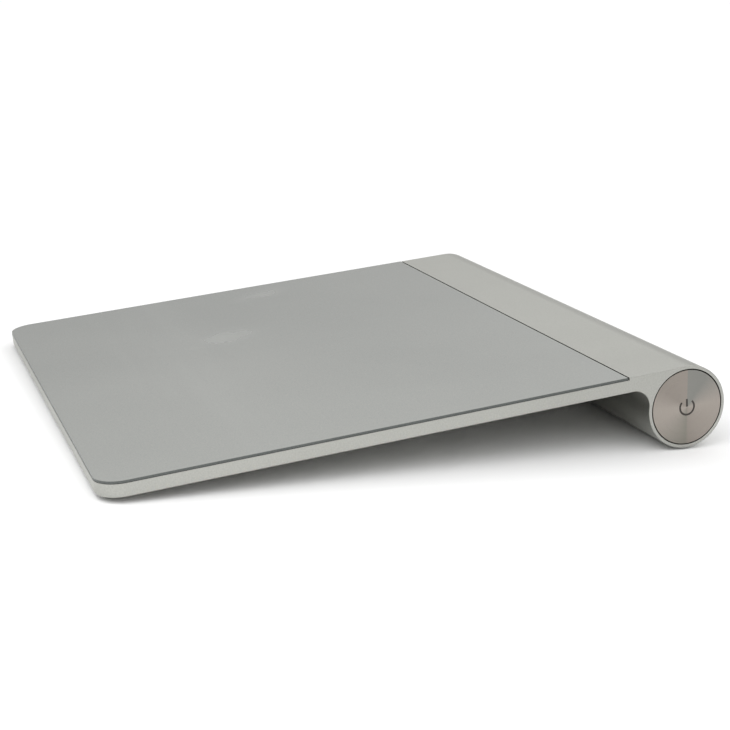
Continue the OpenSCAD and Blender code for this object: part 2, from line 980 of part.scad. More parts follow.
// Coil spring between the cap's contact and the left cell
module cap_spring() {
    wire_r = spring_wire / 2;
    rise = cells_from - spring_from - spring_wire - 2 * spring_seat;
    count = floor(spring_steps * min(spring_turns, rise / (spring_wire + coil_gap)));
    points = [for (i = [0 : count], k = [0 : spring_sides - 1])
        let (turn = 360 * i / spring_steps, side = 360 * k / spring_sides)
            let (r = spring_d / 2 + wire_r * cos(side))
                [rise * i / count + wire_r * sin(side), r * cos(turn), r * sin(turn)]];
    skin = [for (i = [0 : count - 1], k = [0 : spring_sides - 1])
        let (a = spring_sides * i + k, b = spring_sides * i + (k + 1) % spring_sides)
            each [[a, a + spring_sides, b], [b, a + spring_sides, b + spring_sides]]];
    last = spring_sides * count;
    start = [for (k = [1 : spring_sides - 2]) [0, k, k + 1]];
    finish = [for (k = [1 : spring_sides - 2]) [last, last + k + 1, last + k]];
    color(steel)
        in_plate()
            translate([spring_from + spring_seat + wire_r, 0, 0])
                polyhedron(points, concat(skin, start, finish));
}

body_shell();
touch_glass();
glass_tape();
sensor_board();
sensor_flex();
logic_board();
touch_controller();
radio_chip();
shield_can();
crystal();
chip_antenna();
sensor_connector();
power_connector();
click_connectors();
board_passives();
board_screws();
click_flex(-1);  // click_flex_left
click_flex(1);  // click_flex_right
switch_bridge(-1);  // switch_bridge_left
switch_bridge(1);  // switch_bridge_right
bridge_screws();
click_switch(-1);  // click_switch_left
click_switch(1);  // click_switch_right
battery_flex();
button_carrier();
positive_contact();
power_switch();
cell(cells_from);  // cell_left
cell(cells_from + cell_len);  // cell_right
rear_foot(-1);  // rear_foot_left
rear_foot(1);  // rear_foot_right
power_button();
button_clip();
switch_plunger();
battery_cap();
cap_contact();
cap_spring();
foot_plunger(-1);  // foot_plunger_left
foot_plunger(1);  // foot_plunger_right
front_foot(-1);  // front_foot_left
front_foot(1);  // front_foot_right
click_actuator(-1);  // click_actuator_left
click_actuator(1);  // click_actuator_right
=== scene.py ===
import math

import bmesh
import bpy
from mathutils import Matrix, Vector


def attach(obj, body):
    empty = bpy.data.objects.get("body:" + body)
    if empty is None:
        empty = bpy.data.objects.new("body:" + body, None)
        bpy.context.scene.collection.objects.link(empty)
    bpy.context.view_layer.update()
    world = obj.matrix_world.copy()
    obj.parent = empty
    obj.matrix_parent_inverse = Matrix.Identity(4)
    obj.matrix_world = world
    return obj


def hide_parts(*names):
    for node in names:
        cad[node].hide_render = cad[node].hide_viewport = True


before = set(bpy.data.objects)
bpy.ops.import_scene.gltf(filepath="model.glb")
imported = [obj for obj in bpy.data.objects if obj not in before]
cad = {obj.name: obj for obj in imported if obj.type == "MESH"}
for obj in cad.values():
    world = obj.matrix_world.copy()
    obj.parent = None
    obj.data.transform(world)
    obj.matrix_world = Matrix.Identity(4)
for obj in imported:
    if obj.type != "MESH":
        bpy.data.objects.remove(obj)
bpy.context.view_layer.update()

# Sizes of the pad, the same as the part's own
MM = 0.001
HALF_W = 65 * MM
REACH = 122 * MM
BARREL_R = 8.85 * MM
PLATE_T = 3.25 * MM
FLOOR_T = 0.7 * MM
RIM = 3 * MM
CORNER_R = 5.5 * MM
FILLET_R = 3.5 * MM
BORE_R = 7.5 * MM
SEAT_R = 8.15 * MM
SEAT_DEPTH = 3 * MM
GLASS_T = 0.5 * MM
TAPE_T = 0.08 * MM
STRIP_REACH = 13 * MM
SEAM = 0.3 * MM
GLASS_INSET = 0.05 * MM
REAR_LEDGE = 1.5 * MM
FRONT_CLEAR = 0.9 * MM
STRIP_PROUD = 0.4 * MM
FOOT_R = 4.4 * MM
FOOT_HOLE_R = 4.6 * MM
FOOT_AT = (50 * MM, -113 * MM)
SPIGOT_END = 5.9 * MM
SKIN = 0.2 * MM
BOSS_H = 0.25 * MM
BOSS_R = 1.8 * MM
SCREW_HOLE_R = 0.55 * MM
BOARD_SCREWS = [(x * MM, y * MM) for x in (-35.5, 35.5) for y in (-20.8, -36.3)]
BRIDGE_SCREWS = [(side * FOOT_AT[0] + tab * MM, FOOT_AT[1]) for side in (-1, 1) for tab in (-7.9, 7.9)]
CABLE_WAY = [(51.35 * MM, -18.65 * MM, 6.85 * MM), (56.05 * MM, 0, 7.67 * MM)]
REST_X = 38 * MM
REST_HALF_L = 17 * MM
REST_HALF_W = 1.3 * MM
REST_TOP = 0.75 * MM
CELL_LEN = 50.5 * MM
CELLS_FROM = -50.7 * MM

# Heights in the plate's frame, whose origin is on the barrel's axis and whose z is square to the glass
TOP = BARREL_R
RIM_Z = TOP - GLASS_T - TAPE_T
UNDER = TOP - PLATE_T
FLOOR = UNDER + FLOOR_T
BOARD_Z = FLOOR + BOSS_H

# Lean of the plate on its feet
BARREL_Z = BARREL_R + STRIP_PROUD
LEAN = math.atan2(UNDER, REACH) + math.asin((BARREL_Z - FRONT_CLEAR) / math.hypot(REACH, UNDER))
BARREL_Y = ((REACH - GLASS_INSET) * math.cos(LEAN) + TOP * math.sin(LEAN) - BARREL_R) / 2

# End pieces of the barrel
END_RECESS = 0.15 * MM
END_R = 7.9 * MM
END_EDGE = 0.2 * MM
# The button as seen is closer to the barrel's rim than its solid: further out, a little wider and crisper
KEY_OUT = 0.12 * MM
KEY_R = 7.95 * MM
KEY_EDGE = 0.12 * MM
BUTTON_T = 1.7 * MM
STEM_R = 2 * MM
GROOVE_R = 1.5 * MM
GROOVE = (60.38 * MM, 60.8 * MM)
STEM_TO = 59.4 * MM
MARK_R = 1.64 * MM
MARK_W = 0.42 * MM
MARK_DEPTH = 0.1 * MM
MARK_GAP = math.radians(46)
# Play of the mark's filling, and the share of the mark's depth that it leaves open
MARK_FIT = 0.02 * MM
MARK_OPEN = 0.6
CAP_HEAD = 2.85 * MM
CAP_END = 7.45 * MM
CAP_WEB = 4 * MM
CUP_R = 5.4 * MM
SPIGOT_R = 7.35 * MM
THREAD_H = 0.4 * MM
THREAD_CLEAR = 0.12 * MM
THREAD_BITE = 0.15 * MM
# Half widths of the thread at its crest and at its root, on the cap and cut into the shell
RIDGE_HALF = (0.16 * MM, 0.38 * MM)
CUT_HALF = (0.28 * MM, 0.488 * MM)
PITCH = 1 * MM
TURNS = 3.25
THREAD_FROM = -6.55 * MM
COIN_R = 10 * MM
COIN_W = 1.8 * MM
COIN_DEPTH = 1.4 * MM

# Softened edges
SHELL_EDGE = 0.2 * MM
MOUTH_EDGE = 0.06 * MM
GLASS_ARRIS = 0.06 * MM
TREAD_EDGE = 0.35 * MM
REST_EDGE = 0.22 * MM

# Steps that round shapes are made in
TURNED_STEPS = 160
BARREL_STEPS = 150
FILLET_STEPS = 28
CORNER_STEPS = 20
POCKET_STEPS = 8
FOOT_STEPS = 96
BOSS_STEPS = 64
HOLE_STEPS = 24
MARK_STEPS = 72
STEPS_A_TURN = 36

# Points that count as one, and the angles below which faces are smoothed and above which edges are softened
NEAR = 0.002 * MM
SMOOTH_BELOW = math.radians(35)
SOFTEN_ABOVE = math.radians(40)

# Floor, and the photograph's camera with its place, its directions and its lens
FLOOR_SIZE = 40
CAMERA_PLACE = (0.329956, -0.10952, 0.096585)
CAMERA_RIGHT = (0.33384, 0.94246, 0.01768)
CAMERA_UP = (-0.24341, 0.06806, 0.96754)
LENS = 75.75
SENSOR = 36


# Handling of pieces


def alone(piece):
    """Selects one piece and nothing else."""
    if bpy.context.mode != "OBJECT":
        bpy.ops.object.mode_set(mode="OBJECT")
    bpy.ops.object.select_all(action="DESELECT")
    piece.select_set(True)
    bpy.context.view_layer.objects.active = piece


def open_mesh(piece):
    alone(piece)
    bpy.ops.object.mode_set(mode="EDIT")
    bpy.ops.mesh.select_mode(type="VERT")


def close_mesh():
    bpy.ops.object.mode_set(mode="OBJECT")


def choose(piece, kind, test):
    """Selects the points, edges or faces of an open mesh that pass a test."""
    bpy.ops.mesh.select_mode(type=kind)
    bpy.ops.mesh.select_all(action="DESELECT")
    mesh = bmesh.from_edit_mesh(piece.data)
    mesh.normal_update()
    found = {"VERT": mesh.verts, "EDGE": mesh.edges, "FACE": mesh.faces}[kind]
    for item in found:
        if test(item):
            item.select_set(True)
    mesh.select_flush_mode()
    bmesh.update_edit_mesh(piece.data)


def upright(edge):
    """True for an edge that stands square to the plate."""
    way = edge.verts[0].co - edge.verts[1].co
    return way.xy.length < NEAR


def fresh(name, size=(1, 1, 1)):
    """Names the primitive that was just added, draws it to its size and puts its place into its mesh."""
    piece = bpy.context.object
    piece.name = name
    piece.data.name = name
    piece.scale = size
    bpy.ops.object.transform_apply(location=True, rotation=True, scale=True)
    return piece


def block(name, low, high):
    """A cube drawn out between two corners."""
    low, high = Vector(low), Vector(high)
    bpy.ops.object.select_all(action="DESELECT")
    bpy.ops.mesh.primitive_cube_add(size=1, location=(low + high) / 2)
    return fresh(name, high - low)


def peg(name, radius, at, low, high, steps):
    """A cylinder square to the plate."""
    bpy.ops.object.select_all(action="DESELECT")
    place = (at[0], at[1], (low + high) / 2)
    bpy.ops.mesh.primitive_cylinder_add(vertices=steps, radius=radius, depth=high - low, location=place)
    return fresh(name)


def point(name, place):
    """A plane drawn together to one point, where a profile starts. Its mesh stays open."""
    bpy.ops.object.select_all(action="DESELECT")
    bpy.ops.mesh.primitive_plane_add(size=MM)
    piece = fresh(name)
    open_mesh(piece)
    bpy.ops.mesh.select_all(action="SELECT")
    bpy.ops.mesh.merge(type="CENTER")
    bpy.ops.transform.translate(value=place)
    return piece


def line(start, *stops):
    """Draws the profile on through some points and gives the last one."""
    for stop in stops:
        step = Vector(stop) - Vector(start)
        bpy.ops.mesh.extrude_vertices_move(TRANSFORM_OT_translate={"value": step})
        start = stop
    return start


def tidy():
    """Merges what lies together and turns all faces outwards."""
    bpy.ops.mesh.select_all(action="SELECT")
    bpy.ops.mesh.remove_doubles(threshold=NEAR)
    bpy.ops.mesh.normals_make_consistent(inside=False)


def turned(name, section):
    """A piece turned about the barrel's axis, from places along it and radii.

    It is turned on by half a step, so that its facets lie clear of a thread's steps.
    """
    places = [(x, 0, r) for x, r in section]
    piece = point(name, places[0])
    line(*places)
    bpy.ops.mesh.select_all(action="SELECT")
    bpy.ops.mesh.spin(steps=TURNED_STEPS, angle=2 * math.pi, center=(0, 0, 0), axis=(1, 0, 0))
    bpy.ops.mesh.select_all(action="SELECT")
    bpy.ops.transform.rotate(value=math.pi / TURNED_STEPS, orient_axis="X", center_override=(0, 0, 0))
    tidy()
    close_mesh()
    return piece


def soft_edge(x, r, inwards, size):
    """Points of a rounded outer edge in a turned section, from the face at x to the rim at r."""
    turns = [math.radians(a) for a in (0, 30, 60, 90)]
    return [(x + inwards * size * (1 - math.cos(a)), r - size * (1 - math.sin(a))) for a in turns]


def cut(piece, tool, operation="DIFFERENCE"):
    """Cuts a tool out of a piece, or joins it on, and takes the tool away."""
    alone(piece)
    bpy.ops.object.modifier_add(type="BOOLEAN")
    step = piece.modifiers[-1]
    step.operation = operation
    step.solver = "EXACT"
    step.object = tool
    bpy.ops.object.modifier_apply(modifier=step.name)
    bpy.data.meshes.remove(tool.data)


def lean(piece):
    """Moves a piece from the plate's frame to where the feet hold it."""
    alone(piece)
    piece.location = (0, BARREL_Y, BARREL_Z)
    piece.rotation_euler = (LEAN, 0, 0)
    bpy.ops.object.transform_apply(location=True, rotation=True, scale=True)


def smooth(piece):
    """Smooths the round faces and keeps the flat ones flat."""
    alone(piece)
    bpy.ops.object.shade_smooth_by_angle(angle=SMOOTH_BELOW)
    bpy.ops.object.modifier_add(type="WEIGHTED_NORMAL")
    step = piece.modifiers[-1]
    step.keep_sharp = True
    bpy.ops.object.modifier_apply(modifier=step.name)


def bevel(size, segments):
    bpy.ops.mesh.bevel(offset=size, offset_type="OFFSET", segments=segments, affect="EDGES",
                       clamp_overlap=False)


# Materials: the nodes that they share


def put(tree, kind, settings=None, **sockets):
    """Adds a node, sets it up and links or fills its sockets."""
    made = tree.nodes.new(kind)
    for name, value in (settings or {}).items():
        setattr(made, name, value)
    for name, value in sockets.items():
        socket = made.inputs[name.replace("_", " ")]
        if isinstance(value, bpy.types.NodeSocket):
            tree.links.new(value, socket)
        else:
            socket.default_value = value
    return made


def calc(tree, operation, *terms):
    """One step of arithmetic."""
    made = tree.nodes.new("ShaderNodeMath")
    made.operation = operation
    for socket, term in zip(made.inputs, terms):
        if isinstance(term, bpy.types.NodeSocket):
            tree.links.new(term, socket)
        else:
            socket.default_value = term
    return made.outputs[0]


def tint(tree, mask, low, high):
    """Mixes two colours by a mask."""
    made = tree.nodes.new("ShaderNodeMix")
    made.data_type = "RGBA"
    for socket, term in zip((made.inputs[0], made.inputs[6], made.inputs[7]), (mask, low, high)):
        if isinstance(term, bpy.types.NodeSocket):
            tree.links.new(term, socket)
        else:
            socket.default_value = (*term, 1) if isinstance(term, tuple) else term
    return made.outputs[2]


def spread(tree, value, low, high, to_low=0.0, to_high=1.0, curve="LINEAR"):
    """Stretches a range of values to another one and cuts off what lies outside."""
    made = put(tree, "ShaderNodeMapRange", {"clamp": True, "interpolation_type": curve}, Value=value)
    for name, number in (("From Min", low), ("From Max", high), ("To Min", to_low), ("To Max", to_high)):
        made.inputs[name].default_value = number
    return made.outputs["Result"]


def shades(tree, value, stops):
    """Colours along a value, from stops with their places."""
    made = put(tree, "ShaderNodeValToRGB", Fac=value)
    ramp = made.color_ramp
    for at, _ in stops[1:-1]:
        ramp.elements.new(at)
    for element, (at, colour) in zip(ramp.elements, stops):
        element.position = at
        element.color = (*colour, 1)
    return made.outputs["Color"]


def group(name, inputs, outputs):
    """An empty node group with a place vector and some numbers going in, and masks coming out."""
    tree = bpy.data.node_groups.new(name, "ShaderNodeTree")
    tree.interface.new_socket("Place", in_out="INPUT", socket_type="NodeSocketVector")
    for label, start in inputs:
        tree.interface.new_socket(label, in_out="INPUT", socket_type="NodeSocketFloat").default_value = start
    for label in outputs:
        tree.interface.new_socket(label, in_out="OUTPUT", socket_type="NodeSocketFloat")
    return tree, tree.nodes.new("NodeGroupInput").outputs, tree.nodes.new("NodeGroupOutput").inputs


def grain_group():
    """Fine even grain: blasted metal, etched glass and moulded skin."""
    tree, given, out = group("fine_grain", [("Fineness", 4000), ("Pits", 0.5)], ["Height", "Speckle"])
    coarse = put(tree, "ShaderNodeTexNoise", Vector=given["Place"], Scale=given["Fineness"], Detail=2)
    pits = put(tree, "ShaderNodeTexVoronoi", Vector=given["Place"], Scale=given["Fineness"])
    depth = calc(tree, "MULTIPLY", pits.outputs["Distance"], given["Pits"])
    tree.links.new(calc(tree, "SUBTRACT", coarse.outputs["Fac"], depth), out["Height"])
    tree.links.new(spread(tree, coarse.outputs["Fac"], 0.32, 0.68), out["Speckle"])
    return tree


def handling_group():
    """Broad faint patches where hands have been."""
    tree, given, out = group("handling", [("Breadth", 24)], ["Patch", "Smear"])
    patch = put(tree, "ShaderNodeTexNoise", Vector=given["Place"], Scale=given["Breadth"], Detail=3)
    stretched = put(tree, "ShaderNodeMapping", Vector=given["Place"], Scale=(0.35, 1.6, 1),
                    Rotation=(0, 0, 0.5))
    smear = put(tree, "ShaderNodeTexNoise", Vector=stretched.outputs[0], Scale=given["Breadth"], Detail=4,
                Distortion=0.6)
    tree.links.new(spread(tree, patch.outputs["Fac"], 0.35, 0.65), out["Patch"])
    tree.links.new(spread(tree, smear.outputs["Fac"], 0.5, 0.85, curve="SMOOTHSTEP"), out["Smear"])
    return tree


def spun_group():
    """Rings that a cutter leaves on a turned face, and the angle round the axis, along which painted fans of
    sheen are laid. The axis is x.
    """
    tree, given, out = group("spun_rings", [("Rings", 9000)], ["Height", "Ring", "Turn", "Radius"])
    part = put(tree, "ShaderNodeSeparateXYZ", Vector=given["Place"])
    y, z = part.outputs["Y"], part.outputs["Z"]
    radius = calc(tree, "SQRT", calc(tree, "ADD", calc(tree, "MULTIPLY", y, y), calc(tree, "MULTIPLY", z, z)))
    far = put(tree, "ShaderNodeCombineXYZ", X=radius)
    ring = put(tree, "ShaderNodeTexNoise", Vector=far.outputs[0], Scale=given["Rings"], Detail=3)
    angle = calc(tree, "ARCTAN2", y, z)
    tree.links.new(ring.outputs["Fac"], out["Height"])
    tree.links.new(spread(tree, ring.outputs["Fac"], 0.3, 0.7), out["Ring"])
    tree.links.new(calc(tree, "DIVIDE", angle, 2 * math.pi), out["Turn"])
    tree.links.new(radius, out["Radius"])
    return tree


def streak_group():
    """Short scratches along x, as rolling and brushing leave them."""
    tree, given, out = group("rolled_streaks", [("Fineness", 3000)], ["Height", "Streak"])
    drawn = put(tree, "ShaderNodeMapping", Vector=given["Place"], Scale=(0.04, 1, 1))
    noise = put(tree, "ShaderNodeTexNoise", Vector=drawn.outputs[0], Scale=given["Fineness"], Detail=3)
    tree.links.new(noise.outputs["Fac"], out["Height"])
    tree.links.new(spread(tree, noise.outputs["Fac"], 0.3, 0.7), out["Streak"])
    return tree


GRAIN = grain_group()
HANDLING = handling_group()
SPUN = spun_group()
STREAKS = streak_group()


def effect(tree, kind, place, **numbers):
    """Places a shared effect in a material."""
    made = tree.nodes.new("ShaderNodeGroup")
    made.node_tree = kind
    tree.links.new(place, made.inputs["Place"])
    for name, number in numbers.items():
        made.inputs[name].default_value = number
    return made.outputs


def finish_named(name, **values):
    """An empty material with its shader set: gives the tree, the shader and the place on the piece."""
    material = bpy.data.materials.new(name)
    material.use_nodes = True
    tree = material.node_tree
    shader = tree.nodes["Principled BSDF"]
    for label, value in values.items():
        shader.inputs[label.replace("_", " ")].default_value = value
    place = tree.nodes.new("ShaderNodeTexCoord").outputs["Object"]
    return material, tree, shader.inputs, place


def bump(tree, shader, height, depth, strength):
    made = put(tree, "ShaderNodeBump", Height=height, Distance=depth, Strength=strength)
    tree.links.new(made.outputs["Normal"], shader["Normal"])


def weighed(tree, first, share, second):
    """A share of one mask and the rest of another."""
    return calc(tree, "ADD", calc(tree, "MULTIPLY", first, share), calc(tree, "MULTIPLY", second, 1 - share))


def paint_by(tree, shader, mask, low, high):
    """Mixes two colours by a mask for the surface."""
    tree.links.new(tint(tree, mask, low, high), shader["Base Color"])


def moved(tree, place, by):
    """The place on a piece, counted from another point."""
    return put(tree, "ShaderNodeMapping", {"vector_type": "POINT"}, Vector=place, Location=by).outputs[0]


# Materials of the outside


def blasted_aluminium():
    """Bead-blasted, clear-anodised aluminium."""
    material, tree, shader, place = finish_named("pad_aluminium", Metallic=1.0, IOR=1.5)
    shader["Specular Tint"].default_value = (0.98, 0.98, 0.97, 1)
    grain = effect(tree, GRAIN, place, Fineness=3200, Pits=0.4)
    hands = effect(tree, HANDLING, place, Breadth=26)
    shade = weighed(tree, grain["Speckle"], 0.75, hands["Patch"])
    paint_by(tree, shader, shade, (0.38, 0.382, 0.355), (0.458, 0.46, 0.43))
    rubbed = calc(tree, "ADD", calc(tree, "MULTIPLY", hands["Smear"], -0.04), 0.36)
    rough = calc(tree, "ADD", rubbed, calc(tree, "MULTIPLY", grain["Speckle"], 0.06))
    tree.links.new(rough, shader["Roughness"])
    bump(tree, shader, grain["Height"], 0.012 * MM, 0.6)
    return material


def smudge(tree, place, at, size, turn):
    """Soft oval mask of a touched spot on the glass."""
    oval = put(tree, "ShaderNodeMapping", {"vector_type": "TEXTURE"}, Vector=place, Location=at,
               Rotation=(0, 0, turn), Scale=size)
    ball = put(tree, "ShaderNodeTexGradient", {"gradient_type": "SPHERICAL"}, Vector=oval.outputs[0])
    return spread(tree, ball.outputs["Fac"], 0.0, 1.0, curve="SMOOTHERSTEP")


def etched_glass():
    """Satin glass with silver paint behind it, touched here and there and with a few specks of dust."""
    material, tree, shader, place = finish_named("pad_glass_face", Metallic=0.35, IOR=1.5)
    grain = effect(tree, GRAIN, place, Fineness=3600, Pits=0.3)
    hands = effect(tree, HANDLING, place, Breadth=17)
    shade = weighed(tree, grain["Speckle"], 0.65, hands["Patch"])
    paint = tint(tree, shade, (0.234, 0.243, 0.228), (0.288, 0.296, 0.277))
    long_touch = smudge(tree, place, (-18.5 * MM, -20.5 * MM, 9.5 * MM), (18 * MM, 9 * MM, 12 * MM),
                        math.radians(112))
    short_touch = smudge(tree, place, (-54.5 * MM, -1.5 * MM, 11.5 * MM), (12 * MM, 7 * MM, 12 * MM),
                         math.radians(118))
    streaky = put(tree, "ShaderNodeTexNoise", Vector=place, Scale=160, Detail=3)
    touch = calc(tree, "MULTIPLY", calc(tree, "MAXIMUM", long_touch, short_touch),
                 spread(tree, streaky.outputs["Fac"], 0.2, 0.75))
    touched = calc(tree, "MAXIMUM", calc(tree, "MULTIPLY", touch, 0.38),
                   calc(tree, "MULTIPLY", hands["Smear"], 0.25))
    greasy = tint(tree, touched, paint, (0.39, 0.395, 0.377))
    cells = put(tree, "ShaderNodeTexVoronoi", Vector=place, Scale=75)
    lot = put(tree, "ShaderNodeSeparateXYZ", Vector=cells.outputs["Color"]).outputs["X"]
    rare = calc(tree, "GREATER_THAN", lot, 0.8)
    speck = calc(tree, "MULTIPLY", rare, spread(tree, cells.outputs["Distance"], 0.012, 0.024, 0.55, 0.0))
    paint_by(tree, shader, speck, greasy, (0.08, 0.08, 0.078))
    rough = calc(tree, "ADD", calc(tree, "MULTIPLY", touched, 0.08), 0.26)
    tree.links.new(rough, shader["Roughness"])
    bump(tree, shader, grain["Height"], 0.006 * MM, 0.5)
    return material


def glass_edge():
    """Ground edge of the glass: dark, greenish, half clear."""
    material, tree, shader, place = finish_named("pad_glass_edge", IOR=1.5)
    grain = effect(tree, GRAIN, place, Fineness=2600, Pits=0.2)
    paint_by(tree, shader, grain["Speckle"], (0.064, 0.071, 0.067), (0.09, 0.098, 0.093))
    tree.links.new(spread(tree, grain["Speckle"], 0, 1, 0.3, 0.42), shader["Roughness"])
    bump(tree, shader, grain["Height"], 0.006 * MM, 0.4)
    return material


def spun_aluminium():
    """Turned metal of the end pieces: fine rings, with painted highlights and painted shade laid in fans
    round the axis in the base colour.
    """
    material, tree, shader, place = finish_named("turned_end_metal", Metallic=1.0, Anisotropic=0.75)
    axis = moved(tree, place, (0, -BARREL_Y, -BARREL_Z))
    spun = effect(tree, SPUN, axis, Rings=9000)
    # Painted reflection: tones of painted light and painted shade laid in fans round the axis stand in for
    # the sheen of spun metal
    cool, dusk = (0.237, 0.236, 0.219), (0.24, 0.229, 0.2)
    warm, painted_sheen = (0.286, 0.257, 0.229), (0.37, 0.334, 0.3)
    painted_sheen_fans = [(0.0, cool), (0.1, cool), (0.24, painted_sheen), (0.49, warm), (0.505, dusk), (0.7, painted_sheen), (0.76, painted_sheen),
            (0.85, warm), (1.0, warm)]
    # The painted fans of sheen start three degrees short of the top, and a whole turn more keeps the sum
    # above zero
    start = 1.0085
    painted_fan = shades(tree, calc(tree, "FRACT", calc(tree, "ADD", spun["Turn"], start)), painted_sheen_fans)
    dimmed = put(tree, "ShaderNodeHueSaturation", Color=painted_fan)
    tree.links.new(spread(tree, spun["Ring"], 0, 1, 0.94, 1.06), dimmed.inputs["Value"])
    tree.links.new(dimmed.outputs["Color"], shader["Base Color"])
    tree.links.new(spread(tree, spun["Ring"], 0, 1, 0.26, 0.36), shader["Roughness"])
    along = put(tree, "ShaderNodeTangent", {"direction_type": "RADIAL", "axis": "X"})
    tree.links.new(along.outputs["Tangent"], shader["Tangent"])
    bump(tree, shader, spun["Height"], 0.004 * MM, 0.4)
    return material


def mark_paint():
    """Dark filling of the engraved mark."""
    material, tree, shader, place = finish_named("mark_filling", IOR=1.45)
    grain = effect(tree, GRAIN, place, Fineness=12000, Pits=0.3)
    paint_by(tree, shader, grain["Speckle"], (0.03, 0.026, 0.022), (0.055, 0.048, 0.042))
    tree.links.new(spread(tree, grain["Speckle"], 0, 1, 0.5, 0.65), shader["Roughness"])
    bump(tree, shader, grain["Height"], 0.004 * MM, 0.4)
    return material


def foot_rubber():
    """Grey rubber with a fine moulded skin."""
    material, tree, shader, place = finish_named("grey_tread_rubber", IOR=1.5)
    grain = effect(tree, GRAIN, place, Fineness=2600, Pits=0.7)
    dust = effect(tree, HANDLING, place, Breadth=160)
    skin = tint(tree, grain["Speckle"], (0.055, 0.056, 0.058), (0.08, 0.082, 0.084))
    paint_by(tree, shader, calc(tree, "MULTIPLY", dust["Smear"], 0.3), skin, (0.2, 0.2, 0.19))
    tree.links.new(spread(tree, grain["Speckle"], 0, 1, 0.62, 0.78), shader["Roughness"])
    bump(tree, shader, grain["Height"], 0.02 * MM, 0.7)
    return material


# Materials of the inside


def moulded(name, low, high, rough, depth):
    """Moulded plastic with a fine spark-eroded skin."""
    material, tree, shader, place = finish_named(name, IOR=1.46)
    grain = effect(tree, GRAIN, place, Fineness=3400, Pits=0.5)
    flow = effect(tree, HANDLING, place, Breadth=300)
    paint_by(tree, shader, weighed(tree, grain["Speckle"], 0.5, flow["Patch"]), low, high)
    tree.links.new(spread(tree, grain["Speckle"], 0, 1, rough - 0.05, rough + 0.05), shader["Roughness"])
    bump(tree, shader, grain["Height"], depth, 0.5)
    return material


def rolled(name, low, high, rough):
    """Thin sheet metal with the streaks of its rolling."""
    material, tree, shader, place = finish_named(name, Metallic=1.0)
    streaks = effect(tree, STREAKS, place, Fineness=4200)
    stain = effect(tree, HANDLING, place, Breadth=220)
    paint_by(tree, shader, weighed(tree, streaks["Streak"], 0.6, stain["Patch"]), low, high)
    tree.links.new(spread(tree, streaks["Streak"], 0, 1, rough - 0.07, rough + 0.07), shader["Roughness"])
    bump(tree, shader, streaks["Height"], 0.006 * MM, 0.5)
    return material


def board_mask():
    """Green board lacquer over copper tracks and ground."""
    material, tree, shader, place = finish_named("board_lacquer", IOR=1.5)
    layout = {"offset": 0.37, "squash": 1.6, "squash_frequency": 3}
    tracks = put(tree, "ShaderNodeTexBrick", layout, Vector=place, Scale=420, Mortar_Size=0.03,
                 Mortar_Smooth=0.2)
    grain = effect(tree, GRAIN, place, Fineness=2600, Pits=0.3)
    track = tracks.outputs["Fac"]
    lacquer = tint(tree, grain["Speckle"], (0.008, 0.048, 0.026), (0.014, 0.068, 0.038))
    paint_by(tree, shader, calc(tree, "MULTIPLY", track, 0.7), lacquer, (0.035, 0.13, 0.06))
    tree.links.new(spread(tree, grain["Speckle"], 0, 1, 0.28, 0.4), shader["Roughness"])
    height = calc(tree, "ADD", track, calc(tree, "MULTIPLY", grain["Height"], 0.2))
    bump(tree, shader, height, 0.03 * MM, 0.6)
    return material


def flat_cable():
    """Amber film over copper conductors."""
    material, tree, shader, place = finish_named("cable_film", IOR=1.6)
    layout = {"wave_type": "BANDS", "bands_direction": "DIAGONAL"}
    lines = put(tree, "ShaderNodeTexWave", layout, Vector=place, Scale=420, Distortion=0.0)
    grain = effect(tree, GRAIN, place, Fineness=1800, Pits=0.2)
    copper = spread(tree, lines.outputs["Fac"], 0.35, 0.6)
    film = tint(tree, grain["Speckle"], (0.21, 0.085, 0.012), (0.26, 0.11, 0.018))
    paint_by(tree, shader, copper, film, (0.4, 0.17, 0.035))
    tree.links.new(spread(tree, grain["Speckle"], 0, 1, 0.25, 0.38), shader["Roughness"])
    bump(tree, shader, copper, 0.012 * MM, 0.5)
    return material


def cell_sleeve():
    """Plain printed sleeve of a cell: dark, with a copper shoulder, and bare steel at both ends."""
    material, tree, shader, place = finish_named("printed_sleeve")
    part = put(tree, "ShaderNodeSeparateXYZ", Vector=place)
    past = calc(tree, "ADD", part.outputs["X"], -CELLS_FROM)
    along = calc(tree, "FRACT", calc(tree, "DIVIDE", past, CELL_LEN))
    wrap = effect(tree, STREAKS, place, Fineness=1500)
    dark = tint(tree, wrap["Streak"], (0.02, 0.028, 0.04), (0.034, 0.045, 0.06))
    shoulder = calc(tree, "GREATER_THAN", along, 0.72)
    cased = tint(tree, shoulder, dark, (0.42, 0.2, 0.075))
    inside = calc(tree, "MULTIPLY", calc(tree, "GREATER_THAN", along, 0.009),
                  calc(tree, "LESS_THAN", along, 0.971))
    bare = calc(tree, "SUBTRACT", 1.0, inside)
    paint_by(tree, shader, bare, cased, (0.5, 0.5, 0.48))
    tree.links.new(calc(tree, "MAXIMUM", bare, calc(tree, "MULTIPLY", shoulder, 0.8)), shader["Metallic"])
    tree.links.new(spread(tree, wrap["Streak"], 0, 1, 0.24, 0.36), shader["Roughness"])
    bump(tree, shader, wrap["Height"], 0.004 * MM, 0.3)
    return material


def bonding_tape():
    """Dark foam tape with open cells at its edge."""
    material, tree, shader, place = finish_named("edge_foam_tape", IOR=1.45)
    grain = effect(tree, GRAIN, place, Fineness=6000, Pits=0.9)
    paint_by(tree, shader, grain["Speckle"], (0.02, 0.022, 0.021), (0.045, 0.048, 0.046))
    tree.links.new(spread(tree, grain["Speckle"], 0, 1, 0.7, 0.85), shader["Roughness"])
    bump(tree, shader, grain["Height"], 0.02 * MM, 0.7)
    return material


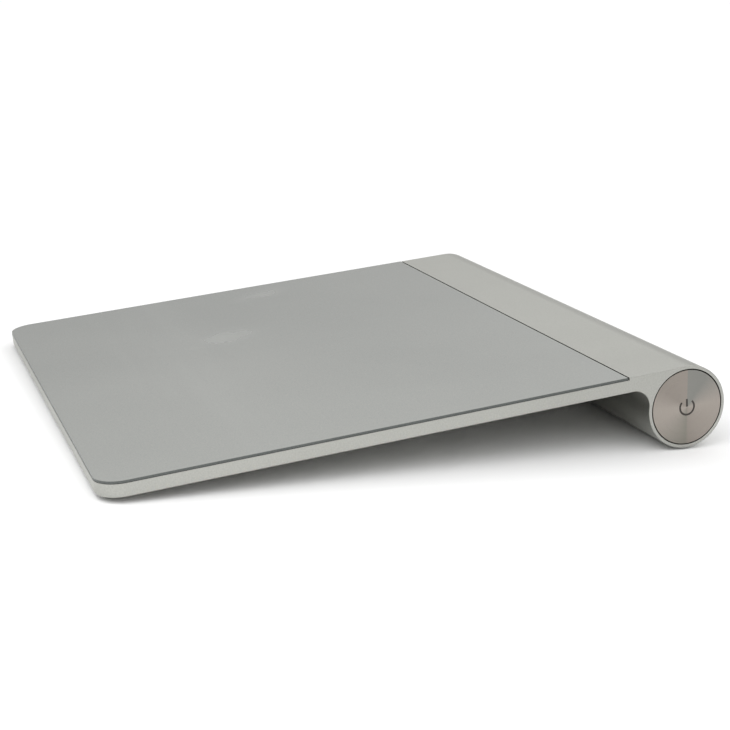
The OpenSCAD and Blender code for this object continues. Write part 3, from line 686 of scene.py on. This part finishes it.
ALUMINIUM = blasted_aluminium()
GLASS = etched_glass()
EDGE = glass_edge()
SPUN_METAL = spun_aluminium()
PAINT = mark_paint()
RUBBER = foot_rubber()
WHITE = moulded("pale_moulding", (0.66, 0.66, 0.63), (0.74, 0.74, 0.71), 0.45, 0.008 * MM)
BLACK = moulded("dark_moulding", (0.012, 0.0125, 0.0135), (0.024, 0.025, 0.026), 0.5, 0.012 * MM)
CERAMIC = moulded("tiny_ceramic", (0.2, 0.145, 0.085), (0.3, 0.225, 0.14), 0.4, 0.01 * MM)
TIN = rolled("bright_tin", (0.5, 0.5, 0.48), (0.62, 0.62, 0.6), 0.3)
STEEL = rolled("hard_steel", (0.36, 0.37, 0.38), (0.46, 0.47, 0.48), 0.32)
BRASS = rolled("rolled_brass", (0.5, 0.33, 0.1), (0.62, 0.43, 0.16), 0.28)
LACQUER = board_mask()
FILM = flat_cable()
SLEEVE = cell_sleeve()
TAPE = bonding_tape()

INNER = {
    WHITE: ["button_carrier", "chip_antenna", "click_actuator_left", "click_actuator_right",
            "click_connectors", "foot_plunger_left", "foot_plunger_right", "power_connector",
            "sensor_connector", "switch_plunger"],
    BLACK: ["click_switch_left", "click_switch_right", "power_switch", "radio_chip", "touch_controller"],
    CERAMIC: ["board_passives"],
    TIN: ["crystal", "shield_can"],
    STEEL: ["board_screws", "bridge_screws", "button_clip", "cap_spring", "switch_bridge_left",
            "switch_bridge_right"],
    BRASS: ["cap_contact", "positive_contact"],
    LACQUER: ["logic_board", "sensor_board"],
    FILM: ["battery_flex", "click_flex_left", "click_flex_right", "sensor_flex"],
    SLEEVE: ["cell_left", "cell_right"],
    TAPE: ["glass_tape"],
}


def dress(piece, *materials):
    piece.data.materials.clear()
    for material in materials:
        piece.data.materials.append(material)


def settle(piece, body, slot, *replaced):
    """Puts a finished piece on its body, in place of the plain solids."""
    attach(piece, body)
    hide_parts(*replaced)


# Pieces


def thread(name, root, crest, half, start, turns):
    """A helical ridge about the left end's axis, drawn from its section with the screw modifier."""
    half_crest, half_root = half
    bpy.ops.object.select_all(action="DESELECT")
    middle = ((root + crest) / 2, 0, start)
    bpy.ops.mesh.primitive_plane_add(size=1, location=middle, rotation=(math.pi / 2, 0, 0))
    piece = fresh(name, (crest - root, 2 * half_root, 1))
    open_mesh(piece)
    choose(piece, "VERT", lambda v: v.co.x > middle[0])
    bpy.ops.transform.resize(value=(1, 1, half_crest / half_root))
    bpy.ops.mesh.select_all(action="SELECT")
    bpy.ops.mesh.delete(type="ONLY_FACE")
    close_mesh()
    bpy.ops.object.modifier_add(type="SCREW")
    step = piece.modifiers[-1]
    step.axis = "Z"
    step.angle = 2 * math.pi * turns
    step.screw_offset = PITCH * turns
    step.steps = step.render_steps = round(STEPS_A_TURN * turns)
    bpy.ops.object.modifier_apply(modifier=step.name)
    open_mesh(piece)
    bpy.ops.mesh.select_all(action="SELECT")
    bpy.ops.mesh.fill_holes(sides=4)
    bpy.ops.mesh.normals_make_consistent(inside=False)
    close_mesh()
    piece.location = (-HALF_W, 0, 0)
    piece.rotation_euler = (0, -math.pi / 2, 0)
    alone(piece)
    bpy.ops.object.transform_apply(location=True, rotation=True, scale=True)
    return piece


def shell_block():
    """Plate and barrel drawn as one side view, filled and drawn out to the body's width."""
    x = -HALF_W
    fillet_z = UNDER - FILLET_R
    fillet_y = -math.sqrt((BARREL_R + FILLET_R) ** 2 - fillet_z ** 2)
    touch = math.atan2(fillet_z, -fillet_y)
    start = (x, -REACH, UNDER)
    piece = point("pad_shell", start)
    line(start, (x, -REACH, RIM_Z), (x, -STRIP_REACH, RIM_Z), (x, -STRIP_REACH, TOP), (x, 0, TOP))
    bpy.ops.mesh.spin(steps=BARREL_STEPS, angle=1.5 * math.pi + touch, center=(x, 0, 0), axis=(1, 0, 0))
    bpy.ops.mesh.spin(steps=FILLET_STEPS, angle=-math.pi / 2 - touch, center=(x, fillet_y, fillet_z),
                      axis=(1, 0, 0))
    line((x, fillet_y, UNDER), start)
    bpy.ops.mesh.select_all(action="SELECT")
    bpy.ops.mesh.remove_doubles(threshold=NEAR)
    bpy.ops.mesh.edge_face_add()
    bpy.ops.mesh.extrude_region_move(TRANSFORM_OT_translate={"value": (2 * HALF_W, 0, 0)})
    tidy()
    return piece


def soften_shell(piece):
    """Rounds the front corners, then the long edges."""
    choose(piece, "EDGE", lambda e: upright(e) and all(v.co.y < -REACH + NEAR for v in e.verts))
    bevel(CORNER_R, CORNER_STEPS)

    def sharp(edge):
        return len(edge.link_faces) == 2 and edge.calc_face_angle() > SOFTEN_ABOVE and edge.is_convex

    def under_glass(edge):
        return all(v.co.z > RIM_Z - NEAR and v.co.y < -STRIP_REACH + NEAR for v in edge.verts)

    choose(piece, "EDGE", lambda e: sharp(e) and not under_glass(e))
    bevel(SHELL_EDGE, 3)
    tidy()
    close_mesh()


def bore_tool():
    """Bore for the cells, with a seat and a softened mouth at each end."""
    outside = -HALF_W - 4 * MOUTH_EDGE
    half = [(outside, 0), (outside, SEAT_R + 5 * MOUTH_EDGE), (-HALF_W + MOUTH_EDGE, SEAT_R),
            (-HALF_W + SEAT_DEPTH, SEAT_R), (-HALF_W + SEAT_DEPTH, BORE_R)]
    return turned("bore_tool", half + [(-x, r) for x, r in reversed(half)])


def pocket_tool():
    """Room for the boards, with its corners rounded and the bosses left standing."""
    back = -STRIP_REACH - SEAM - REAR_LEDGE
    piece = block("pocket_tool", (-HALF_W + RIM, -REACH + RIM, FLOOR), (HALF_W - RIM, back, TOP))
    open_mesh(piece)
    choose(piece, "EDGE", upright)
    bevel(CORNER_R - RIM, POCKET_STEPS)
    tidy()
    close_mesh()
    for at in BOARD_SCREWS:
        cut(piece, peg("boss", BOSS_R, at, FLOOR - MM, BOARD_Z, BOSS_STEPS))
    return piece


def rest_block(name, side, low):
    """Block of a rubber strip under the barrel, from some height up to the strip's top."""
    x = side * REST_X
    return block(name, (x - REST_HALF_L, BARREL_Y - REST_HALF_W, low),
                 (x + REST_HALF_L, BARREL_Y + REST_HALF_W, REST_TOP))


def make_shell():
    """Plate and barrel with the bore, its thread, the room for the boards and the holes for the feet."""
    piece = shell_block()
    soften_shell(piece)
    cut(piece, bore_tool())
    groove = SPIGOT_R + THREAD_H + THREAD_CLEAR
    cut(piece, thread("thread_tool", BORE_R - THREAD_BITE, groove, CUT_HALF, THREAD_FROM - PITCH, TURNS + 2))
    cut(piece, pocket_tool())
    cut(piece, block("cable_way", *CABLE_WAY))
    for at in BOARD_SCREWS + BRIDGE_SCREWS:
        cut(piece, peg("screw_hole", SCREW_HOLE_R, at, UNDER + SKIN, BOARD_Z + MM, HOLE_STEPS))
    for side in (-1, 1):
        at = (side * FOOT_AT[0], FOOT_AT[1])
        cut(piece, peg("foot_hole", FOOT_HOLE_R, at, UNDER - MM, FLOOR + MM, FOOT_STEPS))
    lean(piece)
    for side in (-1, 1):
        cut(piece, rest_block("strip_groove", side, -MM))
    smooth(piece)
    dress(piece, ALUMINIUM)
    settle(piece, "chassis", "blasted_aluminium", "body_shell")


def make_glass():
    """Plate of glass with round front corners, a fine arris and a ground edge of its own finish."""
    half = HALF_W - GLASS_INSET
    piece = block("pad_glass", (-half, -REACH + GLASS_INSET, TOP - GLASS_T), (half, -STRIP_REACH - SEAM, TOP))
    open_mesh(piece)
    choose(piece, "EDGE", lambda e: upright(e) and all(v.co.y < -REACH / 2 for v in e.verts))
    bevel(CORNER_R - GLASS_INSET, CORNER_STEPS)
    choose(piece, "EDGE", lambda e: all(v.co.z > TOP - NEAR for v in e.verts))
    bevel(GLASS_ARRIS, 2)
    tidy()
    close_mesh()
    dress(piece, GLASS, EDGE)
    for face in piece.data.polygons:
        face.material_index = 1 if abs(face.normal.z) < 0.9 else 0
    lean(piece)
    smooth(piece)
    settle(piece, "chassis", "silver_glass", "touch_glass")


def mark_lines(name, width, low, high):
    """Broken ring and bar of the power mark, between two places along the barrel."""
    bpy.ops.object.select_all(action="DESELECT")
    middle = ((low + high) / 2, 0, MARK_R)
    bpy.ops.mesh.primitive_plane_add(size=1, location=middle, rotation=(math.pi / 2, 0, 0))
    ring = fresh(name, (high - low, width, 1))
    open_mesh(ring)
    bpy.ops.mesh.select_all(action="SELECT")
    bpy.ops.transform.rotate(value=MARK_GAP, orient_axis="X", center_override=(0, 0, 0))
    bpy.ops.mesh.spin(steps=MARK_STEPS, angle=2 * math.pi - 2 * MARK_GAP, center=(0, 0, 0), axis=(1, 0, 0))
    bpy.ops.mesh.select_all(action="SELECT")
    bpy.ops.mesh.remove_doubles(threshold=NEAR)
    bpy.ops.mesh.fill_holes(sides=4)
    bpy.ops.mesh.normals_make_consistent(inside=False)
    close_mesh()
    bar = block("mark_bar", (low, -width / 2, MARK_R / 20), (high, width / 2, MARK_R + MARK_W / 4))
    bar.select_set(True)
    ring.select_set(True)
    bpy.context.view_layer.objects.active = ring
    bpy.ops.object.join()
    return ring


def make_button():
    """Turned button with a rounded edge, its stem and the engraved power mark with its dark filling."""
    face = HALF_W - END_RECESS + KEY_OUT
    back = HALF_W - END_RECESS - BUTTON_T
    section = [(face, 0), *soft_edge(face, KEY_R, -1, KEY_EDGE), (back, KEY_R), (back, STEM_R),
               (GROOVE[1], STEM_R), (GROOVE[1], GROOVE_R), (GROOVE[0], GROOVE_R), (GROOVE[0], STEM_R),
               (STEM_TO, STEM_R), (STEM_TO, 0)]
    piece = turned("power_key", section)
    cut(piece, mark_lines("mark_tool", MARK_W, face - MARK_DEPTH, face + MM))
    paint = mark_lines("power_mark", MARK_W - MARK_FIT, face - MARK_DEPTH, face - MARK_OPEN * MARK_DEPTH)
    for made, material in ((piece, SPUN_METAL), (paint, PAINT)):
        lean(made)
        smooth(made)
        dress(made, material)
    settle(piece, "button", "spun_aluminium", "power_button")
    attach(paint, "button")


def make_cap():
    """Screw cap with a coin slot, a thread and the spring's cup."""
    face = -HALF_W + END_RECESS
    head = -HALF_W + CAP_HEAD
    end = -HALF_W + CAP_END
    floor = -HALF_W + CAP_WEB
    section = [(face, 0), *soft_edge(face, END_R, 1, END_EDGE), (head, END_R), (head, SPIGOT_R),
               (end, SPIGOT_R), (end, CUP_R), (floor, CUP_R), (floor, 0)]
    piece = turned("coin_cap", section)
    ridge = thread("ridge", SPIGOT_R - THREAD_BITE, SPIGOT_R + THREAD_H, RIDGE_HALF, THREAD_FROM, TURNS)
    cut(piece, ridge, "UNION")
    bpy.ops.object.select_all(action="DESELECT")
    bpy.ops.mesh.primitive_cylinder_add(vertices=TURNED_STEPS, radius=COIN_R, depth=COIN_W,
                                        rotation=(math.pi / 2, 0, 0),
                                        location=(face + COIN_DEPTH - COIN_R, 0, 0))
    cut(piece, fresh("coin_tool"))
    lean(piece)
    smooth(piece)
    dress(piece, SPUN_METAL)
    settle(piece, "cap", "spun_aluminium", "battery_cap")


def make_front_foot(side, name):
    """Rubber pad on a plunger, cut level with the table and rounded at its tread."""
    at = (side * FOOT_AT[0], FOOT_AT[1])
    piece = peg(f"pad_foot_{name}", FOOT_R, at, 0, SPIGOT_END, FOOT_STEPS)
    lean(piece)
    open_mesh(piece)
    bpy.ops.mesh.select_all(action="SELECT")
    bpy.ops.mesh.bisect(plane_co=(0, 0, 0), plane_no=(0, 0, 1), use_fill=True, clear_inner=True)
    choose(piece, "EDGE", lambda e: all(v.co.z < NEAR for v in e.verts))
    bevel(TREAD_EDGE, 4)
    tidy()
    close_mesh()
    smooth(piece)
    dress(piece, RUBBER)
    settle(piece, f"{name}_foot", "foot_rubber", f"front_foot_{name}")


def make_rear_strip(side, name):
    """Rubber strip under the barrel, rounded along its lower edges."""
    piece = rest_block(f"rest_strip_{name}", side, 0)
    open_mesh(piece)
    choose(piece, "EDGE", lambda e: all(v.co.z < NEAR for v in e.verts))
    bevel(REST_EDGE, 4)
    tidy()
    close_mesh()
    smooth(piece)
    dress(piece, RUBBER)
    settle(piece, "chassis", "foot_rubber", f"rear_foot_{name}")


make_shell()
make_glass()
make_button()
make_cap()
for hand, label in ((-1, "left"), (1, "right")):
    make_front_foot(hand, label)
    make_rear_strip(hand, label)
for finish, names in INNER.items():
    for label in names:
        dress(cad[label], finish)


# Floor, light and camera


def floor_finish():
    """Plain pale floor with the pad's soft shadow on it. From below it is clear."""
    material = bpy.data.materials.new("pale_floor")
    material.use_nodes = True
    tree = material.node_tree
    shader = tree.nodes["Principled BSDF"].inputs
    shader["Base Color"].default_value = (0.97, 0.97, 0.97, 1)
    shader["Roughness"].default_value = 0.9
    shader["Specular IOR Level"].default_value = 0.0
    surface = tree.nodes["Principled BSDF"].outputs[0]
    clear = tree.nodes.new("ShaderNodeBsdfTransparent").outputs[0]
    mix = tree.nodes.new("ShaderNodeMixShader")
    tree.links.new(tree.nodes.new("ShaderNodeNewGeometry").outputs["Backfacing"], mix.inputs[0])
    tree.links.new(surface, mix.inputs[1])
    tree.links.new(clear, mix.inputs[2])
    tree.links.new(mix.outputs[0], tree.nodes["Material Output"].inputs["Surface"])
    return material


def make_floor():
    bpy.ops.object.select_all(action="DESELECT")
    bpy.ops.mesh.primitive_plane_add(size=FLOOR_SIZE, location=(0, 0, 0))
    floor = fresh("floor")
    dress(floor, floor_finish())


def make_sky():
    """Pale room, brightest at mid height and dim overhead. Low down, its left side is the darker one."""
    world = bpy.data.worlds.new("pale_room")
    bpy.context.scene.world = world
    world.use_nodes = True
    tree = world.node_tree
    ray = tree.nodes.new("ShaderNodeTexCoord").outputs["Generated"]
    way = put(tree, "ShaderNodeSeparateXYZ", Vector=ray).outputs
    # Heights in the sky, and the light there
    upper = [(0.55, 1.35), (0.75, 1.25), (0.9, 0.7), (1.0, 0.4)]
    low_left = [(0.0, 0.95), (0.03, 0.8), (0.09, 0.25), (0.19, 0.32), (0.27, 0.7), (0.39, 1.2)]
    low_right = [(0.0, 0.95), (0.03, 0.8), (0.09, 0.4), (0.28, 0.7), (0.42, 1.1)]
    left, right = [shades(tree, way["Z"], [(at, (light,) * 3) for at, light in low + upper])
                   for low in (low_left, low_right)]
    side = spread(tree, way["X"], -0.1, 0.7, curve="SMOOTHSTEP")
    tree.links.new(tint(tree, side, left, right), tree.nodes["Background"].inputs["Color"])


def make_daylight(strength, way, softness):
    """One broad soft light over the whole floor."""
    lamp = bpy.data.lights.new("daylight", "SUN")
    lamp.energy = strength
    lamp.angle = math.radians(softness)
    carrier = bpy.data.objects.new("daylight", lamp)
    bpy.context.scene.collection.objects.link(carrier)
    carrier.rotation_euler = Vector(way).to_track_quat("Z", "Y").to_euler()


def make_softbox(size, power, place, target):
    """A small soft lamp over the floor in front of the near corner."""
    lamp = bpy.data.lights.new("corner_light", "AREA")
    lamp.shape = "SQUARE"
    lamp.size = size
    lamp.energy = power
    carrier = bpy.data.objects.new("corner_light", lamp)
    bpy.context.scene.collection.objects.link(carrier)
    carrier.visible_camera = False
    carrier.location = place
    carrier.rotation_euler = (Vector(target) - Vector(place)).to_track_quat("-Z", "Y").to_euler()


def make_camera():
    """Camera at the photograph's place, turned and set as measured on the pad's own corners."""
    lens = bpy.data.cameras.new("photo_view")
    lens.lens = LENS
    lens.sensor_width = SENSOR
    lens.clip_start = 0.01
    lens.clip_end = 100
    camera = bpy.data.objects.new("photo_view", lens)
    bpy.context.scene.collection.objects.link(camera)
    right = Vector(CAMERA_RIGHT)
    up = Vector(CAMERA_UP)
    back = right.cross(up).normalized()
    turn = Matrix((right, up, back)).transposed().to_4x4()
    camera.matrix_world = Matrix.Translation(CAMERA_PLACE) @ turn
    bpy.context.scene.camera = camera


make_floor()
make_sky()
make_daylight(strength=0.25, way=(0.05, 0.1, 0.99), softness=90)
make_softbox(size=0.2, power=0.18, place=(0.16, -0.13, 0.16), target=(0.1, -0.08, 0))
make_camera()
bpy.context.scene.view_settings.view_transform = "Standard"
